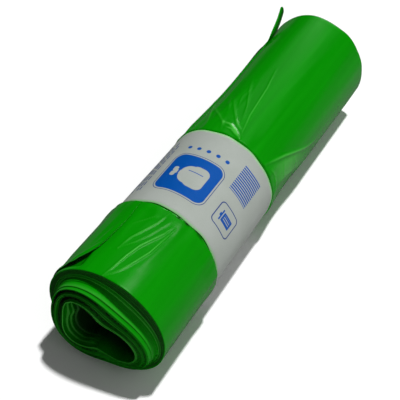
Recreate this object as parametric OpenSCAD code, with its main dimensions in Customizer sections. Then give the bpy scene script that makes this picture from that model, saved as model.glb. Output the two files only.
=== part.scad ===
// A roll of refuse sacks, wound without a core and held by a paper band.
// The roll lies along Y with its telescoped end towards -Y. The origin is on the
// surface it lies on, below the middle of its length.

/* [Roll] */
// Length of each turn, which is the width of a sack folded once
turn_length = 350; // [250:1:450]
// Mean thickness of the wound film, from the hollow to the outside
winding = 22.2; // [21:0.1:30]
// Turns that show on each end, each one a group of film layers
turns = 11; // [8:1:15]
// How far the innermost turn stands out of the near end
telescope = 9; // [3:0.5:15]
// Depth of the notch between the edges of two turns
notch = 1.2; // [0.4:0.1:2]
// Width of the flat that the roll lies on
flat_w = 19.5; // [8:0.5:22]
// Height of the step at the free edge of the last sack
edge_step = 0.8; // [0.4:0.05:1.1]
// How much smaller the far end is wound than the near end
far_taper = 0.3; // [0:0.1:3]

/* [Hollow] */
// Mean width of the hollow that the winding pin left
hollow_d = 46.6; // [40:0.2:50]
// How far the hollow lies to the left of the roll's axis
hollow_left = 6; // [0:0.5:7]
// How far the hollow has sunk below the roll's axis
hollow_drop = 6; // [0:0.5:7]
// How far the hollow is pressed from round to oval
hollow_oval = 6; // [0:0.2:7]
// How far the roof of the hollow sags between its lobes
hollow_sag = 4.2; // [0:0.1:4.6]

/* [Folds] */
// How far the near corner of the free edge curls up
curl = 3; // [0.5:0.1:4]
// Depth of the crease that runs down from the band on the right
crease_depth = 1.3; // [0:0.1:2]
// Depth of the slack hollow in the film past the band
slack_depth = 3.2; // [0:0.1:4]
// Height of the pucker where the film comes out of the band
pucker = 1.1; // [0:0.1:1.8]

/* [Free strip] */
// Length of the loose strip at the far end of the free edge
strip_length = 58; // [30:1:75]
// Width of the loose strip
strip_w = 4.2; // [2.5:0.1:6]
// Thickness of the loose strip
strip_t = 0.9; // [0.6:0.05:1.5]
// How far the tip of the strip stands off the roll
strip_lift = 11.5; // [4:0.5:12]
// Gap between the film and the root of the strip
strip_gap = 0.3; // [0.2:0.05:0.6]

/* [Paper band] */
// Width of the band along the roll
band_w = 89; // [50:1:120]
// Distance from the near edge of the outer turns to the band
band_start = 72; // [50:1:90]
// Thickness of the paper
paper_t = 0.3; // [0.2:0.05:0.5]
// How far the band pulls the film in
squeeze = 1.5; // [0.5:0.1:2.5]
// Gap between the film and the paper
paper_gap = 0.3; // [0.2:0.05:0.6]
// Length of the glued lap of the paper's two ends
lap_w = 16; // [8:1:30]
// Angle in degrees by which the band sits askew
band_skew = 1.4; // [0:0.1:2.5]

/* [Hidden] */

// Faces round one turn
steps = 60;
// Angles of the film's free edge from +X through +Z, on both sides of the band
edge_near = 114;
edge_far = 132;
// Directions of the hollow's long way and of its first lobe
oval_dir = -8;
lobe_dir = -11;
// Winding shares between which the turns step out of the end
cone_in = 0.47;
cone_out = 0.72;

// Radii of the round shapes, and share of the winding in the last sack's edge
hollow_r = hollow_d / 2;
roll_r = hollow_r + winding;
edge_share = edge_step / winding;
// Radius at the bottom and at both sides, where the spiral has not reached its full size
low_r = roll_r - edge_step * (1 - (edge_far + 90) / 360);
right_r = roll_r - edge_step * (1 - edge_far / 360);
left_r = roll_r - edge_step * (1 - (edge_far + 180) / 360);
flat_depth = low_r - sqrt(low_r * low_r - flat_w * flat_w / 4);
axis_z = low_r - flat_depth;
axis_x = (left_r - right_r - 0.6 * pucker) / 2;

// Ends of the outer turns
near_y = (telescope - turn_length) / 2;
far_y = (telescope + turn_length) / 2;
// Band and the stretch of film that it pulls in, with its sloping shoulders
band_y = near_y + band_start;
band_end = band_y + band_w;
band_r = roll_r - squeeze;
pull = squeeze + paper_t + paper_gap;
shoulder = 8;
pull_margin = 1 + band_r * sin(band_skew);
pull_y = band_y - pull_margin;
pull_end = band_end + pull_margin;
// Length of film between the band's shoulder and the far end
rear = far_y - pull_end - shoulder;
strip_y = far_y - strip_length;

// Smooth step from 0 at a to 1 at b, and a smooth bump of half width w round c
function fade(a, b, t) = let (u = min(1, max(0, (t - a) / (b - a)))) u * u * (3 - 2 * u);
function bump(c, w, t) = 1 - fade(0, w, abs(t - c));
// Angle difference in the range from -180 to 180
function turned(a) = a - 360 * floor((a + 180) / 360);

// Share of the winding reached after s turns: the last turn thins out to the film's edge
function share(s) = s > turns - 1 ? 1 - edge_share * (turns - s)
    : s / (turns - 1) * (1 - edge_share);
// Angle of the free edge at y, and of the spiral's point s turns from its start
function edge_angle(y) = edge_near + (edge_far - edge_near) * fade(band_y, band_end, y);
function spiral_angle(s, y) = edge_angle(y) - 360 * (s - turns);
// Point [x, z] of the section at a winding share f: a sagged oval inside, round outside
function section(f, a) = let (
        off = 1 - pow(f, 1.3),
        r = hollow_r + winding * f
            + hollow_oval * (1 - f) * cos(2 * (a - oval_dir))
            + hollow_sag * (1 - f * f) * cos(3 * (a - lobe_dir)))
    [axis_x - hollow_left * off + r * cos(a), axis_z - hollow_drop * off + r * sin(a)];
// Size of the section along the roll, measured from the surface it lies on
function taper(y) = 1 - far_taper / roll_r / 2 * fade(pull_end, far_y, y);
// Point of the spiral at y
function wound(s, y) = let (p = section(share(s), spiral_angle(s, y)) * taper(y))
    [p[0], y, max(0, p[1])];

// How far a turn stands out at the near end, with the small unevenness of hand winding
function stand(s) = telescope * (1 - fade(cone_in, cone_out, share(s)))
    - notch / 3 * (1 + sin(210 * s)) * (1 - fade(0.4, 0.6, share(s)));
// Notch under the edge of a turn, which closes towards the outermost one
function cut(s) = notch * (1 - fade(turns - 2.5, turns - 1, s));

// Lap of the paper, under the roll's far side: it thickens over its first third
lap_steps = 12;
lap_angle = 222;
lap_turn = lap_w / band_r * 180 / PI;
function lap_point(k, out) = let (
        a = lap_angle + lap_turn * k / lap_steps,
        r = out == 0 ? band_r - paper_t / 2 : band_r + paper_t * fade(0, lap_steps / 3, k))
    [r * cos(a), -r * sin(a)];

// Film past the surface of the plain roll, at angle a and place y: pulled in by the band,
// slack and creased behind it, puckered at its edges and curled up at the near corner
function under_band(y) = fade(pull_y - shoulder, pull_y, y)
    * (1 - fade(pull_end, pull_end + shoulder, y));
function slack(a, y) = -slack_depth * bump(158, 55, turned(a))
    * bump(pull_end + shoulder + rear * 0.3, rear * 0.42, y);
function creased(a, y) = let (t = (y - pull_end) / (rear * 0.36))
    -crease_depth * bump(0.5, 0.65, t) * bump(38 - 31 * t, 10, turned(a));
function puckered(a, y) = pucker * (
        bump(pull_end + shoulder + rear * 0.08, rear * 0.14, y)
            * (0.9 * bump(14, 34, turned(a)) + 0.7 * bump(88, 16, turned(a)))
        + bump(pull_y - shoulder - 8, 20, y)
            * (0.8 * bump(82, 9, turned(a)) - 0.5 * bump(68, 9, turned(a))));
function curled(s, y) = let (d = y - near_y)
    (1 - fade(0, 0.2, turns - s)) * (curl * fade(0, 11, d) * (1 - fade(20, 50, d))
        + curl / 4 * fade(pull_end + shoulder, far_y - 40, y) * (1 - fade(far_y - 25, far_y, y)));
function film(s, y) = let (
        a = spiral_angle(s, y),
        p = section(share(s), a) * taper(y),
        d = slack(a, y) + creased(a, y) + puckered(a, y) + curled(s, y) - pull * under_band(y),
        low = (paper_t + paper_gap) * under_band(y))
    [p[0] + d * cos(a), y, max(low, p[1] + d * sin(a))];

// Places of the rings of points along the outside, closer where the film changes
near_parts = [0, 0.04, 0.14, 0.27, 0.4, 0.54, 0.68, 0.84, 1];
rear_parts = [0, 0.07, 0.15, 0.24, 0.34, 0.44, 0.54, 0.64, 0.73];
ring_y = concat(
    [for (t = near_parts) near_y + t * (pull_y - shoulder - near_y)],
    [pull_y - shoulder / 2, pull_y, (pull_y + pull_end) / 2, pull_end, pull_end + shoulder / 2],
    [for (t = rear_parts) pull_end + shoulder + t * (strip_y - pull_end - shoulder)],
    [strip_y, strip_y + strip_length / 4, far_y - strip_length / 2, far_y - 5, far_y]);
rings = len(ring_y);

// Points: for each end the lower edges of the turns, then their raised edges, then the
// rings of the outside between the ends
last = steps * (turns - 1);
whole = steps * turns;
function low_edge(j, far) = let (s = j / steps)
    far ? wound(s, far_y - stand(s + 1)) : wound(s, near_y - stand(s + 1) + cut(s));
function high_edge(j, far) = let (s = j / steps)
    far ? wound(s, far_y - stand(s) - cut(s)) : wound(s, near_y - stand(s));
lows = last;
highs = whole - steps + 1;
block = lows + highs;
// Index of a low or high point of an end: both are one point where the notch closes
function lo(e, j) = e * block + (j < last ? j : lows + j - steps);
function hi(e, j) = e * block + lows + j - steps;
function ring(i, k) = i == 0 ? hi(0, last + k) : i == rings - 1 ? hi(1, last + k)
    : 2 * block + (i - 1) * (steps + 1) + k;

roll_points = concat(
    [for (e = [0, 1]) each concat(
        [for (j = [0:lows - 1]) low_edge(j, e == 1)],
        [for (j = [steps:whole]) high_edge(j, e == 1)])],
    [for (i = [1:rings - 2]) each [for (k = [0:steps]) film(turns - 1 + k / steps, ring_y[i])]]);

// Faces of one end: the edge of each turn, and the notch wall down to the next
function end_faces(e) = concat(
    [for (j = [0:last - 1]) [lo(e, j), lo(e, j + 1), hi(e, j + steps + 1)]],
    [for (j = [0:last - 1]) [lo(e, j), hi(e, j + steps + 1), hi(e, j + steps)]],
    [for (j = [steps:last - 1]) [lo(e, j), hi(e, j), hi(e, j + 1)]],
    [for (j = [steps:last - 2]) [lo(e, j), hi(e, j + 1), lo(e, j + 1)]],
    [[lo(e, 0), hi(e, steps), lo(e, steps)]]);
function flipped(faces) = [for (f = faces) [for (i = [len(f) - 1:-1:0]) f[i]]];
side_faces = [for (i = [0:rings - 2]) each [for (k = [0:steps - 1])
    each [[ring(i, k), ring(i + 1, k + 1), ring(i + 1, k)],
          [ring(i, k), ring(i, k + 1), ring(i + 1, k + 1)]]]];
hollow_faces = [for (j = [0:steps - 1])
    each [[lo(0, j), lo(1, j + 1), lo(0, j + 1)], [lo(0, j), lo(1, j), lo(1, j + 1)]]];
// Cut edges of the film inside the hollow and on the outside
inner_edge = [[lo(0, steps), lo(1, 0), lo(0, 0)], [lo(0, steps), lo(1, steps), lo(1, 0)]];
outer_edge = [for (i = [0:rings - 2])
    each [[ring(i, steps), ring(i + 1, 0), ring(i + 1, steps)],
          [ring(i, steps), ring(i, 0), ring(i + 1, 0)]]];

module bag_roll() {
    color([0.05, 0.58, 0.03])
        polyhedron(points = roll_points, faces = flipped(concat(
            end_faces(0), flipped(end_faces(1)), side_faces, hollow_faces,
            inner_edge, outer_edge)));
}

// Loose strip: its root lies on the film beside the free edge, then it rises and turns on edge
strip_parts = [0, 0.08, 0.16, 0.25, 0.34, 0.43, 0.52, 0.61, 0.7, 0.78, 0.86, 0.93, 0.98, 1];
strip_in = strip_w / 2 / roll_r * 180 / PI;
function strip_section(t) = let (
        a = edge_far + strip_in,
        y = strip_y + t * strip_length,
        p = film(turns - strip_in / 360, y),
        r = norm([p[0] - axis_x, p[2] - axis_z]) + strip_gap + strip_t / 2 + strip_lift * t * t,
        twist = 75 * fade(0, 0.8, t),
        half_w = strip_w / 2 * (t < 0.95 ? 1 : t < 0.99 ? 0.8 : 0.4),
        out = [cos(a), 0, sin(a)],
        along = [sin(a), 0, -cos(a)],
        w = (along * cos(twist) + out * sin(twist)) * half_w,
        n = (out * cos(twist) - along * sin(twist)) * strip_t / 2,
        c = [axis_x, y, axis_z] + out * r)
    [c + n + w, c + n - w, c - n - w, c - n + w];
strip_end = 4 * (len(strip_parts) - 1);
strip_faces = concat(
    [for (m = [0:4:strip_end - 4]) each [for (q = [0:3]) let (k = (q + 1) % 4)
        each [[m + q, m + k, m + 4 + k], [m + q, m + 4 + k, m + 4 + q]]]],
    [[0, 2, 1], [0, 3, 2],
     [strip_end, strip_end + 1, strip_end + 2], [strip_end, strip_end + 2, strip_end + 3]]);

module loose_strip() {
    color([0.02, 0.4, 0.02])
        polyhedron(points = [for (t = strip_parts) each strip_section(t)], faces = strip_faces);
}

// Flat section of the paper: a ring that the floor may press flat, and the lap that climbs
// over its other end
module pressed_circle(r, low) {
    intersection() {
        circle(r = r, $fn = 180);
        translate([-2 * r, axis_z - low - 4 * r])
            square([4 * r, 4 * r]);
    }
}

module paper_ring() {
    difference() {
        union() {
            pressed_circle(band_r, 0);
            polygon([for (k = [0:lap_steps]) lap_point(k, 0), for (k = [lap_steps:-1:0]) lap_point(k, 1)]);
        }
        pressed_circle(band_r - paper_t, paper_t);
    }
}

module paper_band() {
    color([0.86, 0.87, 0.84])
        intersection() {
            translate([axis_x, band_y - pull_margin, axis_z])
                rotate([-90, 0, 0])
                    linear_extrude(height = band_w + 2 * pull_margin) paper_ring();
            translate([0, band_y + band_w / 2, axis_z])
                rotate([0, 0, band_skew])
                    cube([4 * band_r, band_w, 4 * band_r], center = true);
        }
}

bag_roll();
loose_strip();
paper_band();
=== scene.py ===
import bpy
import bmesh
import numpy as np
from mathutils import Matrix, Vector


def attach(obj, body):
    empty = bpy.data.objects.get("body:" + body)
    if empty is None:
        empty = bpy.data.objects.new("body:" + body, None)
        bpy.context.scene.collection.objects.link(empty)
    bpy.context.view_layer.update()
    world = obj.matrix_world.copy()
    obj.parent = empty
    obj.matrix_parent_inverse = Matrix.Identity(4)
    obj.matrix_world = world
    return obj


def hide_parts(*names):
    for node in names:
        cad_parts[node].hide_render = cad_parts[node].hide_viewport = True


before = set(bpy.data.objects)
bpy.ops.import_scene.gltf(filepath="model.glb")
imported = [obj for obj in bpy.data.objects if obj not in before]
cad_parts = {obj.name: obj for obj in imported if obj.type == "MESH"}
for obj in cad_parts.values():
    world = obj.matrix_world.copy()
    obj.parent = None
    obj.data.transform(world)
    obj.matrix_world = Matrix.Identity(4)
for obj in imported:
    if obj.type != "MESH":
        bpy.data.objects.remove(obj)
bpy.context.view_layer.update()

# The wound sacks. A web of green polyethylene sacks, folded once, is wound on a pin that is
# then drawn out, so the hollow has sunk to a sagged oval. The layers stick together, and the
# inner ones have slid 9 mm out of the near end like a telescope.
mm = 0.001
turn_length = 350.0
slip = 9.0
near_rim = (slip - turn_length) / 2
far_rim = (slip + turn_length) / 2
roll_radius = 45.5
hollow_radius = 23.3
winding = roll_radius - hollow_radius
per_degree = roll_radius * np.pi / 180
oval = 6.0
sag = 4.2
drop = 6.0
edge_step = 0.8
weld = 0.00001
axis_x = -0.13
axis_z = 44.13
layers = 22
# Angle of the last sack's free edge at both ends and of its lifted corner, and how far from
# the near rim the free flap starts
edge_near = 114.0
edge_far = 132.0
corner_at = 111.8
flap_from = 3.5
# The paper band, and the radius to which it pulls the film in
band_radius = 44.0
band_from = 72.6
band_to = 161.3
band_skew = 1.4
pulled_in = 43.45
# Behind the band the film is slack, and a diagonal crease runs down it
slack_from = 171.0
crease_from = 163.0
crease_run = 80.0


def fade(a, b, t):
    """Smooth step from 0 at a to 1 at b."""
    u = np.clip((t - a) / (b - a), 0.0, 1.0)
    return u * u * (3 - 2 * u)


def bump(centre, half, t):
    """Smooth hump, 1 at its centre and 0 from half away on."""
    return 1 - fade(0.0, half, np.abs(t - centre))


def turned(a):
    """The same angle between -180 and 180 degrees."""
    return (a + 180.0) % 360.0 - 180.0


def edge_at(d):
    """Angle of the last sack's free edge at a distance d from the near rim."""
    return edge_near + (edge_far - edge_near) * fade(band_from, band_to, d)


def section(f, a):
    """Place [x, z] at a share f of the winding and an angle a, in millimetres."""
    off = 1 - f ** 1.3
    turn = np.radians(a)
    r = (hollow_radius + winding * f + oval * (1 - f) * np.cos(2 * np.radians(a + 8))
         + sag * (1 - f * f) * np.cos(3 * np.radians(a + 11)))
    return axis_x - drop * off + r * np.cos(turn), axis_z - drop * off + r * np.sin(turn)


def along_lines(a, d, points, width, height):
    """A soft ridge along a line of (angle, distance) points, thinning out to both ends."""
    line = np.array(points, float) * (per_degree, 1.0)
    here = np.stack([a * per_degree, d], axis=-1)
    steps = np.linalg.norm(np.diff(line, axis=0), axis=1)
    total = steps.sum()
    best = np.full(a.shape, 1e9)
    share = np.zeros(a.shape)
    gone = 0.0
    for start, end, step in zip(line[:-1], line[1:], steps):
        t = np.clip(((here - start) @ (end - start)) / step ** 2, 0, 1)
        dist = np.linalg.norm(here - (start + t[..., None] * (end - start)), axis=-1)
        share = np.where(dist < best, (gone + t * step) / total, share)
        best = np.minimum(best, dist)
        gone += step
    thinning = np.sin(np.pi * np.clip(share, 0.04, 0.96)) ** 0.45
    return height * np.exp(-(best / width) ** 2) * thinning


# Ridges and creases as (line of angle and distance from the near rim, width, height)
film_folds = [
    ([(79, 68), (81.6, 57.6), (86.5, 47.5), (92.3, 36.5), (95, 25)], 0.75, 0.6),
    ([(95, 25), (86.4, 35), (80.3, 45.6), (73.6, 62.6)], 0.7, 0.45),
    ([(69, 60), (71, 52.7), (80.8, 34), (84.6, 20.9), (87, 8.2), (89.5, -1)], 0.75, 0.7),
    ([(90, -2), (84, 5), (80, 11), (77, 17.3), (70.7, 33.4), (66.1, 59.5)], 0.7, 0.6),
    ([(82, 66), (88, 60), (97, 52), (103, 46)], 1.0, 0.3),
    ([(43, 70), (41, 40), (44, 10)], 4.0, 0.25),
    ([(62, 66), (64, 45), (69, 20)], 2.6, 0.3),
    ([(100, 70), (103, 45), (101, 15)], 3.0, 0.2),
    ([(27, 70), (24, 40), (26, 5)], 4.5, 0.35),
    ([(73, 164), (79.8, 191.6), (84.3, 229.8), (90.6, 258)], 1.0, 0.5),
    ([(80.5, 172), (95.7, 190.9), (107.8, 207.2)], 1.2, 0.36),
    ([(80.8, 178), (88.6, 201.1), (99.9, 223.6), (106.5, 238.4)], 1.1, 0.32),
    ([(92, 169), (106, 181.5), (129.3, 200)], 1.4, 0.34),
    ([(112.6, 168), (120, 185), (134.6, 210.2)], 1.5, 0.4),
    ([(97, 198), (101, 212), (98, 222)], 0.8, 0.2),
    ([(103, 190), (110, 205), (118, 215)], 1.0, 0.24),
    ([(32, 165), (20, 169), (6, 166)], 1.3, 0.5),
    ([(22, 186), (8, 184), (-4, 187)], 1.2, 0.38),
    ([(14, 202), (2, 206), (-6, 203)], 1.2, 0.3),
    ([(97, 175), (90, 174), (82, 170), (74, 164)], 1.5, 0.9),
    ([(92, 170), (85, 169), (78, 165)], 1.0, 0.6),
    ([(88, 181), (82, 176), (76, 172)], 1.0, 0.4),
    ([(100, 180), (97, 172), (95, 166)], 1.3, 0.25),
    ([(38, 163), (26, 189), (7.6, 221), (-2, 243)], 1.5, 0.65),
    ([(60, 166), (57, 190), (58, 220)], 3.0, 0.25),
    ([(112, 170), (108, 195), (104, 225)], 2.5, 0.3),
    ([(96, 185), (94, 215), (97, 240)], 1.6, 0.14),
    ([(66, 225), (63, 270), (58, 320)], 2.4, 0.16),
    ([(121, 175), (118, 205), (119, 240)], 2.0, 0.25),
]
# Film that is stretched flat between two lines, each of (angle, distance) points, and how flat
film_facets = [
    ([(88, 2), (84.6, 20.9), (80.8, 34), (71, 52.7)],
     [(88, 2), (77, 17.3), (70.7, 33.4), (68, 52.7)], 1.0),
    ([(94, 26), (92.3, 36.5), (86.5, 47.5), (79, 66)],
     [(94, 26), (86.4, 35), (80.3, 45.6), (73, 66)], 1.0),
    ([(100, 30), (104, 50), (104, 68)], [(95, 30), (90, 50), (86, 68)], 0.8),
    ([(100, 185), (101, 215), (98, 255)], [(86, 185), (84, 215), (90, 255)], 0.35),
    ([(56, 205), (54, 260), (50, 335)], [(42, 205), (39, 260), (38, 335)], 0.7),
]


def under_band(a, d):
    """1 where the paper band presses on the film, 0 elsewhere. The band sits slightly askew."""
    d = d + np.tan(np.radians(band_skew)) * band_radius * np.cos(np.radians(a))
    return fade(70.6, 72.5, d) * (1 - fade(161.2, 162.6, d))


def below_crease(a, d):
    """Share of the way along the diagonal crease, and the distance below it in millimetres."""
    t = (d - crease_from) / crease_run
    return t, np.clip((38 - 38 * t - a) * per_degree, 0, 22)


def corner_pocket(a, d):
    """How far the film falls away below the lifted corner of the last sack."""
    return 1.6 * fade(0, 7, turned(a) - corner_at) * (1 - fade(13, 22, d)) * fade(2, 6, d)


def facet_depth(a, d, left, right, flatness):
    """How far a facet between two lines lies below the round of the roll."""
    start, end = left[0][1], left[-1][1]
    high = np.interp(d, [p[1] for p in left], [p[0] for p in left])
    low = np.interp(d, [p[1] for p in right], [p[0] for p in right])
    half = np.maximum((high - low) / 2, 0.01)
    away = np.clip(np.abs(a - (high + low) / 2), 0, half)
    chord = flatness * roll_radius * (1 - np.cos(np.radians(half)) / np.cos(np.radians(away)))
    return chord * fade(start - 8, start, d) * (1 - fade(end - 6, end, d))


def film_height(a, d):
    """How far the outermost film stands off the plain roll, in millimetres."""
    a, d = np.broadcast_arrays(turned(a), d)
    pulled = under_band(a, d)
    rear = turn_length - slack_from
    h = (0.5 * bump(67, 14, d) + 0.15 * bump(165, 12, d)) * (1 - pulled)
    h = h - 3.2 * bump(158, 55, a) * bump(slack_from + rear * 0.3, rear * 0.42, d)
    # A taut facet falls from the diagonal crease to the floor, behind the band on the right
    t, below = below_crease(a, d)
    h = h - 0.16 * below * (1 - below / 44.0) * bump(0.42, 0.55, t) * (1 - pulled)
    h = h - corner_pocket(a, d) * (1 - fade(130, 160, a))
    for left, right, flatness in film_facets:
        h = h - facet_depth(a, d, left, right, flatness)
    # The far rim is pulled a little out of round
    h = h + fade(235, 345, d) * (1.0 * bump(110, 28, a) - 1.5 * bump(68, 32, a)
                                 - 1.3 * bump(33, 24, a) + 1.5 * bump(-24, 34, a))
    # The band gathers the film on both of its sides
    gather = (np.sin(np.radians(17 * a)) + 0.6 * np.sin(np.radians(29 * a + 40))
              + 0.5 * np.sin(np.radians(11 * a + 100)))
    h = h + 0.16 * gather * (bump(68, 20, d) + bump(166, 26, d)) * (1 - pulled)
    # Slow unevenness of the winding
    h = h + 0.22 * np.sin(np.radians(3 * a + 0.9 * d)) * np.sin(np.radians(1.3 * d + 20))
    h = h + 0.12 * np.sin(np.radians(7 * a - 0.6 * d + 50)) * fade(0, 12, d)
    for line, width, height in film_folds:
        h = h + along_lines(a, d, line, width, height)
    return h * (1 - pulled) - (film_radius(a, d) - pulled_in) * pulled


def film_radius(a, d):
    """Radius of the sheet that shows, below the last sack's free flaps."""
    turn_share = ((a - edge_at(d)) % 360.0) / 360.0
    under_flap = 1 - fade(0, 70 / 360.0, turn_share)
    far_taper = 0.15 * fade(slack_from, turn_length, d)
    return roll_radius - edge_step * (turn_share + under_flap) - far_taper


def on_roll(a, d, r):
    """Place on the roll in metres. The floor presses the film flat."""
    turn = np.radians(a)
    x = axis_x + r * np.cos(turn)
    z = np.maximum(axis_z + r * np.sin(turn), 0.02 + 0.5 * under_band(a, d))
    return np.stack([x, near_rim + d, z], axis=-1) * mm


def film_sheet(columns, rows, place, **marks):
    """A flat grid that place(u, v) winds or folds to its shape, u and v from 0 to 1.

    Each mark is a function of u and v whose values stay on the points for the material."""
    bm = bmesh.new()
    bm.loops.layers.uv.new("sheet")
    bmesh.ops.create_grid(bm, x_segments=columns, y_segments=rows, size=0.5, calc_uvs=True)
    flat = np.array([v.co[:2] for v in bm.verts]) + 0.5
    for name, mark in marks.items():
        layer = bm.verts.layers.float.new(name)
        for v, value in zip(bm.verts, mark(flat[:, 0], flat[:, 1])):
            v[layer] = value
    for v, p in zip(bm.verts, place(flat[:, 0], flat[:, 1])):
        v.co = p
    return bm


def face_outwards(bm):
    """Turns the faces of a sheet away from the roll's axis."""
    bmesh.ops.recalc_face_normals(bm, faces=bm.faces)
    lean = 0.0
    for f in bm.faces:
        corner = f.verts[0].co
        lean += f.normal.x * (corner.x - axis_x * mm) + f.normal.z * (corner.z - axis_z * mm)
    if lean < 0:
        bmesh.ops.reverse_faces(bm, faces=bm.faces)


def as_piece(bm, name, material):
    """Turns a bmesh into a piece of the part that rides on its only body."""
    for face in bm.faces:
        face.smooth = True
    mesh = bpy.data.meshes.new(name)
    bm.to_mesh(mesh)
    bm.free()
    mesh.materials.append(material)
    piece = bpy.data.objects.new(name, mesh)
    bpy.context.scene.collection.objects.link(piece)
    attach(piece, "root")
    return piece


def wire(tree, node_type, inputs=None, **settings):
    """Adds a shader node. Each input is a value, or an output socket to link."""
    node = tree.nodes.new(node_type)
    for key, value in settings.items():
        setattr(node, key, value)
    for key, value in (inputs or {}).items():
        if isinstance(value, bpy.types.NodeSocket):
            tree.links.new(value, node.inputs[key])
        else:
            node.inputs[key].default_value = value
    return node


def maths(tree, operation, *values):
    """Adds a math node and gives its output. Each value is a number or an output socket."""
    node = tree.nodes.new("ShaderNodeMath")
    node.operation = operation
    for slot, value in zip(node.inputs, values):
        if isinstance(value, bpy.types.NodeSocket):
            tree.links.new(value, slot)
        else:
            slot.default_value = value
    return node.outputs[0]


def ramp(tree, value, low, high, start=0.0, end=1.0, **settings):
    """Maps a value that runs from low to high to one that runs from start to end."""
    node = wire(tree, "ShaderNodeMapRange", {"Value": value, "From Min": low, "From Max": high,
                                             "To Min": start, "To Max": end}, **settings)
    return node.outputs[0]


def mixed(tree, factor, first, second, data_type="RGBA"):
    """Mixes two colours, or two numbers if the data type is FLOAT. The second shows at 1."""
    place, result = {"RGBA": (6, 2), "FLOAT": (2, 0)}[data_type]
    node = wire(tree, "ShaderNodeMix", {"Factor": factor, place: first, place + 1: second},
                data_type=data_type)
    return node.outputs[result]


def noise(tree, vector, scale, detail):
    node = wire(tree, "ShaderNodeTexNoise", {"Vector": vector, "Scale": scale, "Detail": detail})
    return node.outputs[0]


def drawn_streaks():
    """Fine streaks along the web, as blown film has them, with a few crinkles."""
    group = bpy.data.node_groups.new("drawn_streaks", "ShaderNodeTree")
    for name, scale in (("Streak", 300.0), ("Crinkle", 60.0)):
        socket = group.interface.new_socket(name, in_out="INPUT", socket_type="NodeSocketFloat")
        socket.default_value = scale
    for name in ("Height", "Tone"):
        group.interface.new_socket(name, in_out="OUTPUT", socket_type="NodeSocketFloat")
    source = group.nodes.new("NodeGroupInput")
    result = group.nodes.new("NodeGroupOutput")
    place = wire(group, "ShaderNodeTexCoord")
    drawn, loose = [wire(group, "ShaderNodeMapping",
                         {"Vector": place.outputs["Object"], "Scale": (1, along, 1)}).outputs[0]
                    for along in (0.035, 0.3)]
    streak = noise(group, drawn, source.outputs["Streak"], 3.0)
    broad = noise(group, drawn, 90.0, 2.0)
    crinkle = noise(group, loose, source.outputs["Crinkle"], 2.0)
    height = maths(group, "ADD", maths(group, "MULTIPLY", streak, 0.35), crinkle)
    tone = maths(group, "ADD", maths(group, "MULTIPLY", streak, 0.4),
                 maths(group, "MULTIPLY", broad, 0.6))
    group.links.new(height, result.inputs["Height"])
    group.links.new(tone, result.inputs["Tone"])
    return group


def sack_film():
    """Thin glossy green film. Cut edges of the wound layers are paler, partly their own colour and
    partly painted highlight.
    """
    material = bpy.data.materials.new("sack_film")
    material.use_nodes = True
    tree = material.node_tree
    shader = tree.nodes["Principled BSDF"]
    streaks = tree.nodes.new("ShaderNodeGroup")
    streaks.node_tree = drawn_streaks()
    lip = wire(tree, "ShaderNodeAttribute", attribute_name="lip")
    gap = wire(tree, "ShaderNodeAttribute", attribute_name="gap")
    tone = ramp(tree, streaks.outputs["Tone"], 0.3, 0.7)
    colour = mixed(tree, tone, (0.001, 0.23, 0.0003, 1), (0.002, 0.277, 0.0006, 1))
    # Paler lips: on the wound ends partly the film's paler cut edge and partly painted highlight;
    # on the outer sheet painted highlight along creases and painted reflection on the taut facet
    colour = mixed(tree, lip.outputs["Fac"], colour, (0.09, 0.6, 0.07, 1))
    # Painted shade: gaps between the layers, the hollow, the pocket under the lifted corner, the
    # flap's cut edge, the hem's underside and the film under the band's near rim
    colour = mixed(tree, gap.outputs["Fac"], colour, (0.0003, 0.014, 0.0003, 1))
    rough = ramp(tree, streaks.outputs["Tone"], 0.3, 0.7, 0.16, 0.26)
    # Deep gaps are dull, so that they mirror no window
    deep = ramp(tree, gap.outputs["Fac"], 0.6, 0.95, 0.0, 0.7)
    relief = wire(tree, "ShaderNodeBump", {"Height": streaks.outputs["Height"], "Strength": 0.25,
                                           "Distance": 0.0004})
    tree.links.new(colour, shader.inputs["Base Color"])
    tree.links.new(maths(tree, "ADD", rough, deep), shader.inputs["Roughness"])
    tree.links.new(relief.outputs[0], shader.inputs["Normal"])
    shader.inputs["IOR"].default_value = 1.3
    return material


film = sack_film()

# Outer sheet: columns are closer on top, where the folds are, than underneath
columns = 380
rows = 214
# Rows in which the sheet's rims roll inwards, as (distance from the rim, depth)
rim_roll = [(0.9, 1.3), (0.35, 0.9), (0.05, 0.45), (0.0, 0.2), (0.12, 0.05)]
# Painted shadow under the band's near rim, at places round the roll where it pinches the film, as
# (angle, reach, depth of the painted shadow)
rim_shadows = ((70, 4, 0.9), (61.5, 4.5, 0.95), (46, 9, 0.6))


def sheet_place(u, v):
    """Angle, distance from the near rim and inset of the points of the outer sheet."""
    a = -32 + np.where(u < 0.76, u / 0.76 * 190, 190 + (u - 0.76) / 0.24 * 170)
    k = np.rint(v * rows).astype(int)
    n = len(rim_roll)
    # Rows are closest at the two rims of the band, where the film puckers
    d = np.interp(k, np.cumsum([n, 50, 14, 10, 14, 72, 44]),
                  [0.45, 66.0, 73.0, 160.0, 167.0, 252.0, turn_length - 0.45])
    inset = np.zeros_like(d)
    for i, (depth, back) in enumerate(rim_roll):
        d = np.where(k == i, depth, d)
        d = np.where(k == rows - i, turn_length - depth, d)
        inset = np.where((k == i) | (k == rows - i), back, inset)
    return a, d, inset


def sheet_shade(u, v):
    """Painted shade in the pocket under the lifted corner of the last sack, and painted shadow
    where the band's near rim pinches the film.
    """
    a, d = sheet_place(u, v)[:2]
    pocket = (0.3 * fade(corner_at, 114, a) * (1 - fade(128, 140, a))
              * fade(flap_from, 5.5, d) * (1 - fade(14, 20, d)))
    rim_shadow = sum(depth * bump(at, reach, a) for at, reach, depth in rim_shadows)
    return pocket + rim_shadow * np.clip(1.6 * bump(70.3, 2.2, d), 0, 1)


def outer_sheet(u, v):
    a, d, inset = sheet_place(u, v)
    return on_roll(a, d, film_radius(a, d) + film_height(a, d) - inset)


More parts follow.
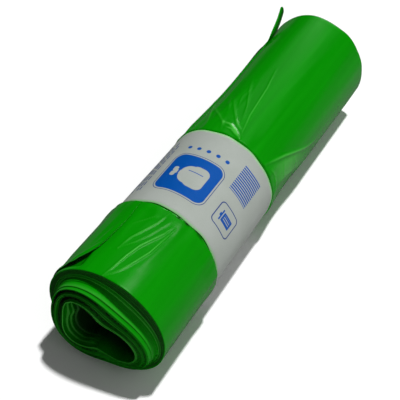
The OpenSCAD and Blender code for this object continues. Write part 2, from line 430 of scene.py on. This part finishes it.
def painted_crease_highlights(u, v):
    """Painted highlight along the sharp creases, and painted reflection on the taut facet below the
    diagonal crease.
    """
    a, d = sheet_place(u, v)[:2]
    a = turned(a)
    sharp = [fold for fold in film_folds if fold[1] < 1.6]
    ridge_highlight = sum(along_lines(a, d, line, 0.8 * width, height) for line, width, height in sharp)
    t, below = below_crease(a, d)
    facet_reflection = fade(0.5, 6, below) * (1 - fade(19, 22, below)) * bump(0.4, 0.48, t)
    return np.maximum(0.8 * fade(0.1, 0.9, ridge_highlight), 0.45 * facet_reflection) * (1 - under_band(a, d))


sheet = film_sheet(columns, rows, outer_sheet, lip=painted_crease_highlights, gap=sheet_shade)
bmesh.ops.remove_doubles(sheet, verts=sheet.verts, dist=weld)
face_outwards(sheet)
outer_film = as_piece(sheet, "outer_film", film)

# Wound layers as they show at both ends: columns to each turn, rows across each lip, and the
# depth of the notch between two lips
layer_columns = 216
near_lip_rows = 8
far_lip_rows = 4
notch = 0.35
# How far each layer stands out of its neighbours, from the hollow outwards
layer_out = np.array([0.9, 0.3, -1.6, -2.2, -1.8, -0.4, 0.9, 0.2, -2.0, -2.8, 0.3,
                      0.1, 0.35, -0.4, 0.7, -0.5, 0.6, -0.3, 0.1, -0.1, 0.1, 0.0])
pressed_at = 228.0


def pressed(a):
    """Underneath, the weight of the roll presses the layers together and closes the gaps."""
    return 1 - fade(35, 115, np.abs(turned(a - pressed_at)))


def layer_share(s):
    """Share of the winding at s layers from the hollow."""
    return np.where(s > layers - 1, 1 - edge_step / winding * (layers - s),
                    s / (layers - 1) * (1 - edge_step / winding))


def layer_level(s, edge):
    """How far a layer stands out of its neighbours, at s layers from the hollow."""
    out = np.interp(s, np.arange(layers) + 0.5, layer_out) * fade(0, 0.6, s)
    a = edge - 360.0 * (s - layers)
    return out * (1 - 0.92 * pressed(a))


def stands_out(f):
    """How far the inner layers have slid out of the near rim, at a share f of the winding."""
    return slip * (1 - fade(0.5, 0.66, f)) - 0.25


def layer_edge(s, d, edge):
    """Place of the line between two layers, s layers from the hollow."""
    a = edge - 360.0 * (s - layers)
    x, z = section(layer_share(s), a)
    around = np.degrees(np.arctan2(z - axis_z, x - axis_x))
    limit = film_radius(around, d) + film_height(around, d) - 0.5
    r = np.minimum(np.hypot(x - axis_x, z - axis_z), limit)
    turn = np.radians(around)
    x = axis_x + r * np.cos(turn)
    z = axis_z + r * np.sin(turn)
    # The innermost layers have come away from the rest, into the hollow on the left
    away = np.clip(1 - s / 8.0, 0, 1) ** 1.5 * bump(0, 62, turned(a - 178))
    return x + 4.2 * away, np.maximum(z - 0.8 * away, 0.25)


def wound_end(far):
    """Gives the place of an end's layers: u runs over the layers, v across the lip of each."""
    d_rim = turn_length - 1.0 if far else 1.0
    edge = edge_far if far else edge_near

    def place(u, v):
        s = u * (layers - 1)
        x0, z0 = layer_edge(s, d_rim, edge)
        x1, z1 = layer_edge(s + 1, d_rim, edge)
        groove0 = stands_out(layer_share(s))
        groove1 = stands_out(layer_share(s + 1))
        # The lip is broad on top, and falls steeply to the next layer out
        level = groove0 + (groove1 - groove0) * fade(0.35, 1.0, v)
        out = layer_level(s + 0.5 * v, edge)
        lip = np.clip(4 * v * (1 - v), 0, 1) ** 0.5
        shallow = 1 - 0.7 * pressed(edge - 360.0 * (s - layers))
        level = level + out * lip - notch * shallow * (1 - lip)
        y = (far_rim - level) if far else (near_rim - level)
        return np.stack([x0 + (x1 - x0) * v, y, z0 + (z1 - z0) * v], axis=-1) * mm

    return place


def lip_light(u, v):
    """Lips are painted paler, partly as the film's paler cut edge and partly as painted highlight:
    palest round the hollow, and dimmer in the middle of the cone.
    """
    s = u * (layers - 1) + 0.5 * v
    light = layer_level(s, edge_near) + 0.4 * (1 - fade(3, 6, s)) + 0.25 * fade(13, 16, s)
    return np.clip(light, 0, 1) * (1 - 0.45 * bump(7, 3, s)) * bump(0.45, 0.4, v)


def end_shade(u, v):
    """Layers that lie back are in the shade, and so are the flat outer turns."""
    s = u * (layers - 1) + 0.5 * v
    f = layer_share(s)
    sunk = np.clip(-layer_level(s, edge_near) / 1.6, 0, 0.95)
    flat_face = 0.76 * fade(0.64, 0.8, f) + 0.45 * (1 - fade(0.46, 0.5, f))
    return np.maximum(sunk, flat_face * (1 - lip_light(u, v)))


wall_rows = 80
# Innermost turns that have slid back show as nested edges, at these depths in the near end
nested_edges = (2.4, 5.2, 8.8)
# Middle of the sagged hollow, so far left of the axis and below it
hollow_left = 8.0
hollow_down = 4.0


def hollow_depth(v):
    """Rows of the hollow's wall are closer at both ends, where they show."""
    return np.interp(v * wall_rows, [0, 40, 56, wall_rows],
                     [0.0, 14.0, turn_length - 14, turn_length])


def hollow_shade(u, v):
    """The hollow darkens from both of its mouths inwards."""
    depth = hollow_depth(v)
    return 0.3 + 0.57 * fade(0, 13, depth) * fade(0, 13, turn_length - depth)


def wall_line(u, v):
    """Place [x, z] on the hollow's wall, the angle round the hollow and the depth in it."""
    depth = hollow_depth(v) + 0.0 * u
    near = layer_edge(u, 1.0, edge_near)
    far = layer_edge(u, turn_length - 1.0, edge_far)
    t = depth / turn_length
    x = near[0] + (far[0] - near[0]) * t
    z = near[1] + (far[1] - near[1]) * t
    around = np.degrees(np.arctan2(z - axis_z + hollow_down, x - axis_x + hollow_left)) % 360
    return x, z, around, depth


def nested_light(u, v):
    """Paler edges of the nested turns, on the left of the hollow: partly the film's paler cut edge,
    partly painted highlight.
    """
    around, depth = wall_line(u, v)[2:]
    return 0.8 * sum(bump(at + 0.3, 0.55, depth) for at in nested_edges) * bump(190, 110, around)


def hollow_wall(u, v):
    x, z, around, depth = wall_line(u, v)
    y = near_rim - stands_out(layer_share(u)) + notch + depth
    # The innermost film hangs in loose folds on the left
    slack = fade(0.3, 5.0, depth) * fade(0.3, 5.0, turn_length - depth)
    fold = slack * (1.6 * bump(168, 26, around) + 1.8 * bump(262, 20, around)
                    + 1.5 * bump(50, 10, around))
    nested = sum(fade(at, at + 0.6, depth) for at in nested_edges)
    nested = nested * fade(0, 40, turn_length - depth)
    fold = fold + 1.6 * nested * bump(190, 110, around)
    turn = np.radians(around)
    return np.stack([x - fold * np.cos(turn), y, z - fold * np.sin(turn)], axis=-1) * mm


def take_in(core, part):
    """Moves the whole of one bmesh into another."""
    mesh = bpy.data.meshes.new("part")
    part.to_mesh(mesh)
    part.free()
    core.from_mesh(mesh)
    bpy.data.meshes.remove(mesh)


core = bmesh.new()
core.loops.layers.uv.new("sheet")
core.verts.layers.float.new("lip")
core.verts.layers.float.new("gap")
for far, lip_rows in ((False, near_lip_rows), (True, far_lip_rows)):
    take_in(core, film_sheet((layers - 1) * layer_columns, lip_rows, wound_end(far),
                             lip=lip_light, gap=end_shade))
take_in(core, film_sheet(layer_columns, wall_rows, hollow_wall,
                         lip=nested_light, gap=hollow_shade))
bmesh.ops.remove_doubles(core, verts=core.verts, dist=weld)
bmesh.ops.recalc_face_normals(core, faces=core.faces)
if sum(f.normal.y * f.verts[0].co.y for f in core.faces) < 0:
    bmesh.ops.reverse_faces(core, faces=core.faces)
wound_layers = as_piece(core, "wound_layers", film)
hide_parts("bag_roll")
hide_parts("bag_roll")

# The last sack's free flap before the band. It is one folded layer of film that lies on the
# roll, with its near corner lifted and creased, so that a dark gap shows below it; painted shade
# deepens it.
flap_length = 67.0
flap_reach = 62.0
# The flap's free edge, as (distance from the near rim, angle)
flap_edge = [(3.5, 138), (6.1, 126.6), (7.5, 121.5), (10.9, 117.2), (14.6, 114), (18.2, 112.1),
             (21.8, 110.6), (28.8, 109.3), (37.3, 108.3), (48.4, 107.2), (71, 107.6)]
flap_folds = [
    ([(112.5, 26), (117.5, 18), (120.4, 14), (125, 11.4), (129, 6)], 1.3, 0.8),
    ([(111, 52), (114.5, 36), (118, 24)], 1.2, 0.3),
    ([(119, 69), (121, 48), (125, 25)], 2.2, 0.2),
    ([(131, 66), (133, 38), (139, 12)], 3.0, 0.25),
]


def near_flap(u, v):
    d = flap_from + v * flap_length
    a0 = np.interp(d, [p[0] for p in flap_edge], [p[1] for p in flap_edge])
    a = a0 + u * flap_reach
    free = np.interp(d, [flap_from, 6, 9, 15, 22, 30, 71], [0.3, 1.1, 2.0, 1.5, 0.7, 0.35, 0.25])
    lift = 0.15 + free * (1 - u) ** 5
    # The flap spans the pocket below its corner and is stretched over the next layers
    pocket = corner_pocket(a, d) * (1 - fade(0.1, 0.5, u))
    for line, width, height in flap_folds:
        lift = lift + along_lines(a, d, line, width, height)
    lift = lift * (1 - fade(0.75, 1.0, u)) + 0.12
    step = edge_step * (1 - fade(0, 70, (a - edge_at(d)) % 360)) * fade(0.0, 0.4, u) * 0.6
    r = film_radius(a, d) + film_height(a, d) + pocket + step + lift * (1 - 0.8 * under_band(a, d))
    return on_roll(a, d, r)


def flap_edge_shade(u, v):
    """Painted shade on the cut edge of the flap, deepest at its corner."""
    return 0.6 * (1 - fade(0, 0.03, u)) * (1 - 0.75 * fade(0.25, 0.65, v))


def thicken(piece, name, thickness, offset=-1):
    """Gives a sheet its thickness, inwards unless the offset is 0."""
    thick = piece.modifiers.new(name, "SOLIDIFY")
    thick.thickness = thickness
    thick.offset = offset


flap = film_sheet(72, 90, near_flap, gap=flap_edge_shade)
face_outwards(flap)
free_flap = as_piece(flap, "free_flap", film)
thicken(free_flap, "film", 0.00018)

# The last sack's hem past the band. It lies along the free edge, and its far end has torn
# loose: it rises from the roll, turns on edge and stands up past the far rim.
# Distances from the near rim at which the hem starts, lifts off the roll and ends
hem_from = 160.0
strip_from = 292.0
strip_to = 349.4
hem_width = 2.6
strip_rise = 12.4


def hem(u, v):
    d = hem_from + v * (strip_to - hem_from)
    t = np.clip((d - strip_from) / (strip_to - strip_from), 0, 1)
    wide = hem_width + 2.2 * fade(strip_from - 30, strip_from + 10, d)
    wide = wide * (1 - 0.6 * fade(0.95, 1.0, t) ** 2)
    a = edge_far + 2.6 - 4.6 * t ** 2
    lift = 0.75 * fade(hem_from, 176, d) - 0.1 + strip_rise * t ** 2.6
    r = film_radius(a, d) + film_height(a, d) + lift
    twist = np.radians(-14 + 110 * fade(0, 0.7, t))
    across = (0.5 - u) * wide
    turn = np.radians(a)
    out = np.stack([np.cos(turn), 0 * u, np.sin(turn)], -1)
    side = np.stack([np.sin(turn), 0 * u, -np.cos(turn)], -1)
    aside = side * (np.cos(twist) * across)[:, None] + out * (np.sin(twist) * across)[:, None]
    return on_roll(a, d, r) + aside * mm


def hem_shade(u, v):
    """The loose end is in its own shade on the side that faces down."""
    return (0.05 + 0.7 * fade(0.55, 0.7, v)) * fade(0.2, 0.5, u)


ribbon = film_sheet(6, 120, hem, gap=hem_shade)
face_outwards(ribbon)
hem_strip = as_piece(ribbon, "hem_strip", film)
thicken(hem_strip, "film", 0.0004, 0)
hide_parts("loose_strip")

# The paper band. A strip of smooth light grey paper is wrapped round the roll and glued where
# its two ends lap. It is printed in blue with plain fields, bars and a simple sack.
band_width = band_to - band_from
band_turn = 360.0 + 20.8
band_lap = 222.0


def band_strip(u, v):
    a = band_lap + u * band_turn
    climb = 0.45 * fade(0.0, 3.0, u * band_turn - 360 + 3)
    turn = np.radians(a)
    ragged = 0.35 * np.sin(np.radians(7 * a)) + 0.25 * np.sin(np.radians(13 * a + 70))
    d = band_from + v * band_width + ragged * (2 * v - 1) * np.abs(2 * v - 1)
    flare = 0.4 * (bump(0, 0.06, v) + bump(1, 0.06, v))
    flare = flare * (0.5 + 0.5 * np.sin(np.radians(9 * a + 40)))
    wave = 0.12 * np.sin(np.radians(5 * a + 200 * v)) * np.sin(np.radians(300 * v + 20))
    r = band_radius + climb + flare + wave
    x = axis_x + r * np.cos(turn)
    z = axis_z + r * np.sin(turn)
    y = near_rim + d - np.tan(np.radians(band_skew)) * r * np.cos(turn)
    return np.stack([x, y, np.maximum(z, 0.08)], axis=-1) * mm


def shape(tree, p, q, centre, half, rounding, soft=0.12):
    """Mask of a rounded box on the paper, 1 inside. Places and sizes are in millimetres."""
    over = []
    for place, middle, reach in zip((p, q), centre, half):
        away = maths(tree, "ABSOLUTE", maths(tree, "SUBTRACT", place, middle))
        over.append(maths(tree, "MAXIMUM", maths(tree, "SUBTRACT", away, reach - rounding), 0.0))
    dist = maths(tree, "SQRT", maths(tree, "ADD", maths(tree, "MULTIPLY", over[0], over[0]),
                                     maths(tree, "MULTIPLY", over[1], over[1])))
    return ramp(tree, dist, rounding + soft, rounding - soft)


def either(tree, *masks):
    """Mask of all that lies in one mask or more."""
    mask = masks[0]
    for other in masks[1:]:
        mask = maths(tree, "MAXIMUM", mask, other)
    return mask


def both(tree, *masks):
    """Mask of what lies in every one of the masks."""
    mask = masks[0]
    for other in masks[1:]:
        mask = maths(tree, "MULTIPLY", mask, other)
    return mask


def outside(tree, mask):
    return maths(tree, "SUBTRACT", 1.0, mask)


def bars(tree, place, pitch, share, shift=0.0):
    """Mask of equal bars across a direction, 1 on the bars."""
    step = maths(tree, "MODULO", maths(tree, "ADD", place, 1000.0 * pitch + shift), pitch)
    return maths(tree, "LESS_THAN", step, pitch * share)


def printed_paper():
    """Light grey paper, printed with a sack in a panel, a block of bars, a bin and dashes."""
    material = bpy.data.materials.new("band_paper")
    material.use_nodes = True
    tree = material.node_tree
    shader = tree.nodes["Principled BSDF"]
    sheet = wire(tree, "ShaderNodeUVMap", uv_map="sheet")
    axes = wire(tree, "ShaderNodeSeparateXYZ", {"Vector": sheet.outputs[0]})
    p = maths(tree, "MULTIPLY", axes.outputs["X"], np.radians(band_turn) * band_radius)
    q = maths(tree, "MULTIPLY", axes.outputs["Y"], band_width)

    def box(centre, half, rounding, soft=0.12):
        return shape(tree, p, q, centre, half, rounding, soft)

    # A tied sack, white in a blue panel, with its neck toward the lower rim of the panel
    px, qy = 174.0, 37.0
    panel = box((px, qy), (20, 20), 7)
    frame_line = both(tree, box((px, qy), (21.6, 21.6), 8.4),
                      outside(tree, box((px, qy), (21.1, 21.1), 8.0)))
    body = either(tree, box((px - 2.5, qy), (10.5, 9.5), 8), box((px - 5.5, qy), (7.5, 11), 5.5))
    neck = box((px + 9.4, qy), (2.4, 2.0), 0.6)
    ears = either(tree, box((px + 12.6, qy - 2.6), (1.9, 2.6), 1.6),
                  box((px + 12.6, qy + 2.6), (1.9, 2.6), 1.6))
    tie = box((px + 9.2, qy), (0.7, 3.1), 0.3)
    fold = box((px - 3, qy + 4.2), (6, 0.35), 0.3)
    sack = both(tree, either(tree, body, neck, ears), outside(tree, either(tree, tie, fold)))
    blue = both(tree, panel, outside(tree, sack))

    # Five equal dots in a row beside the panel
    for k in range(5):
        blue = either(tree, blue, box((px - 16 + 8 * k, 66.0), (1.7, 1.7), 1.7))

    # A block of equal bars, and a framed bin, nearer the floor on the right
    block = both(tree, box((136.0, 63.0), (10.0, 14.0), 0.4), bars(tree, q, 2.2, 0.55))
    bin_at = (133.0, 27.0)
    badge = both(tree, box(bin_at, (10.5, 10.5), 3.5),
                 outside(tree, box(bin_at, (9.7, 9.7), 2.9)))
    can = both(tree, box((bin_at[0] - 1.4, bin_at[1]), (5.0, 4.0), 0.8),
               outside(tree, both(tree, box((bin_at[0] - 1.4, bin_at[1]), (3.6, 2.6), 0.3),
                                  bars(tree, q, 2.0, 0.35, 0.6))))
    lid = either(tree, box((bin_at[0] + 4.9, bin_at[1]), (0.6, 5.0), 0.4),
                 box((bin_at[0] + 6.0, bin_at[1]), (0.6, 1.5), 0.4))
    blue = either(tree, blue, block, can, lid)
    navy = either(tree, frame_line, badge)

    # Rows of short dashes on the left
    for row, (start, length) in enumerate(((14, 56), (14, 61), (20, 50), (14, 58), (20, 44))):
        line = box((204.0 + 3.1 * row, start + length / 2), (0.62, length / 2), 0.2, 0.08)
        navy = either(tree, navy, both(tree, line, bars(tree, q, 6.5 + 0.7 * row, 0.78, 2.3 * row)))

    # Fibres, a slight unevenness and painted pale green light on both rims
    place = wire(tree, "ShaderNodeTexCoord")
    fibre = noise(tree, place.outputs["Object"], 1400.0, 4.0)
    cloud = noise(tree, place.outputs["Object"], 45.0, 2.0)
    mottle = maths(tree, "ADD", maths(tree, "MULTIPLY", fibre, 0.4),
                   maths(tree, "MULTIPLY", cloud, 0.6))
    tone = ramp(tree, mottle, 0.35, 0.65)
    colour = mixed(tree, tone, (0.35, 0.384, 0.347, 1), (0.393, 0.425, 0.396, 1))
    from_rim = maths(tree, "MINIMUM", q, maths(tree, "SUBTRACT", band_width, q))
    painted_rim_light = ramp(tree, from_rim, 0.5, 2.3, 0.9, 0.0)
    for mask, ink in ((painted_rim_light, (0.3, 0.64, 0.27, 1)), (blue, (0.0, 0.073, 0.35, 1)),
                      (navy, (0.012, 0.04, 0.2, 1))):
        colour = mixed(tree, mask, colour, ink)
    relief = wire(tree, "ShaderNodeBump", {"Height": mottle, "Strength": 0.2, "Distance": 0.0003})
    tree.links.new(colour, shader.inputs["Base Color"])
    tree.links.new(relief.outputs[0], shader.inputs["Normal"])
    shader.inputs["Roughness"].default_value = 0.55
    shader.inputs["Specular IOR Level"].default_value = 0.3
    return material


strip = film_sheet(300, 26, band_strip)
face_outwards(strip)
paper_label = as_piece(strip, "paper_label", printed_paper())
thicken(paper_label, "paper", 0.00022)
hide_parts("paper_band")

# The floor, the light and the camera are the photograph's studio, not part of the object. The
# table is white, a lamp stands high behind the roll on the right, and two windows show in the
# film. The camera looks down at the roll from the right, before its telescoped end.
floor = bmesh.new()
bmesh.ops.create_grid(floor, x_segments=1, y_segments=1, size=4.0)
mesh = bpy.data.meshes.new("table")
floor.to_mesh(mesh)
floor.free()
table = bpy.data.objects.new("table", mesh)
bpy.context.scene.collection.objects.link(table)


def table_white():
    """White to the camera. The light it bounces and mirrors onto the roll is painted, brighter or
    darker by the place on the table.
    """
    material = bpy.data.materials.new("table_white")
    material.use_nodes = True
    tree = material.node_tree
    shader = tree.nodes["Principled BSDF"]
    ray = wire(tree, "ShaderNodeLightPath")
    place = wire(tree, "ShaderNodeTexCoord")
    axes = wire(tree, "ShaderNodeSeparateXYZ", {"Vector": place.outputs["Object"]})
    x, y = axes.outputs["X"], axes.outputs["Y"]
    # Painted reflection: to mirroring rays the table is brightest in a strip just right of the
    # roll, which puts a sheen on the roll's lower right side, and dim in front of the roll
    close_by = ramp(tree, x, 0.03, 0.06, 0.1, 0.22, interpolation_type="SMOOTHSTEP")
    far_off = ramp(tree, x, 0.085, 0.135, 1.0, 0.12, interpolation_type="SMOOTHSTEP")
    before = ramp(tree, y, -0.2, -0.13, 0.1, 1.0, interpolation_type="SMOOTHSTEP")
    mirrored = maths(tree, "MULTIPLY", maths(tree, "MINIMUM", close_by, far_off), before)
    # Painted bounce light: the table throws more light back onto the roll on the right than on the
    # left
    bounced = ramp(tree, x, -0.15, 0.05, 0.3, 0.72)
    tone = mixed(tree, ray.outputs["Is Glossy Ray"], bounced, mirrored, "FLOAT")
    grey = wire(tree, "ShaderNodeCombineColor", {key: tone for key in ("Red", "Green", "Blue")})
    shown = mixed(tree, ray.outputs["Is Camera Ray"], grey.outputs[0], (1.0, 1.0, 1.0, 1))
    tree.links.new(shown, shader.inputs["Base Color"])
    shader.inputs["Roughness"].default_value = 1.0
    shader.inputs["Specular IOR Level"].default_value = 0.0
    return material


mesh.materials.append(table_white())

sun = bpy.data.lights.new("high_lamp", "SUN")
sun.energy = 2.95
sun.angle = np.radians(3.5)
lamp = bpy.data.objects.new("high_lamp", sun)
toward = Vector((0.13, 0.23, 0.96)).to_track_quat("Z", "Y").to_matrix().to_4x4()
lamp.matrix_world = Matrix.Translation((0.3, 0.45, 1.4)) @ toward
lamp.visible_glossy = False
bpy.context.scene.collection.objects.link(lamp)

# Windows as (direction, cosines of the angle off it where the light starts and where it is
# full, strength). Each bright window has a wide dim one round it.
windows = [
    ((0.28, 0.40, 0.87), 0.97, 0.999, 5.0),
    ((0.28, 0.55, 0.79), 0.92, 0.999, 0.3),
    ((-0.10, 0.95, 0.30), 0.982, 0.999, 7.0),
    ((-0.15, 0.75, 0.64), 0.9, 0.999, 0.35),
]
dark_room = 0.012


def studio():
    """Pale light from the right. What mirrors sees a dark room with windows instead."""
    world = bpy.data.worlds.new("studio")
    world.use_nodes = True
    tree = world.node_tree
    room = tree.nodes["Background"]
    ray = wire(tree, "ShaderNodeLightPath")
    place = wire(tree, "ShaderNodeTexCoord")
    seen = dark_room
    for direction, start, full, strength in windows:
        lean = wire(tree, "ShaderNodeVectorMath", {0: place.outputs["Generated"], 1: direction},
                    operation="DOT_PRODUCT")
        window = ramp(tree, lean.outputs["Value"], start, full, 0.0, strength,
                      interpolation_type="SMOOTHSTEP")
        seen = maths(tree, "ADD", seen, window)
    axes = wire(tree, "ShaderNodeSeparateXYZ", {"Vector": place.outputs["Generated"]})
    fill = ramp(tree, axes.outputs["X"], -0.1, 1.0, 0.045, 0.58)
    shiny = maths(tree, "MAXIMUM", ray.outputs["Is Glossy Ray"], ray.outputs["Is Transmission Ray"])
    level = mixed(tree, shiny, fill, seen, "FLOAT")
    shown = mixed(tree, ray.outputs["Is Camera Ray"], level, 1.0, "FLOAT")
    tree.links.new(shown, room.inputs["Strength"])
    room.inputs["Color"].default_value = (1, 1, 1, 1)
    return world


bpy.context.scene.world = studio()

camera = bpy.data.cameras.new("camera")
camera.lens = 75.18
camera.sensor_width = 36
camera.clip_end = 20
viewer = bpy.data.objects.new("camera", camera)
bpy.context.scene.collection.objects.link(viewer)
tilt, swing, roll = np.radians((43.27, -28.37, 0.7))
ahead = Vector((np.sin(swing) * np.cos(tilt), np.cos(swing) * np.cos(tilt), -np.sin(tilt)))
level_right = Vector((np.cos(swing), -np.sin(swing), 0))
level_up = level_right.cross(ahead)
right = level_right * np.cos(roll) + level_up * np.sin(roll)
up = level_up * np.cos(roll) - level_right * np.sin(roll)
turn = Matrix((right, up, -ahead)).transposed().to_4x4()
viewer.matrix_world = Matrix.Translation((0.2168, -0.4444, 0.4781)) @ turn
bpy.context.scene.camera = viewer
bpy.context.scene.view_settings.view_transform = "Standard"
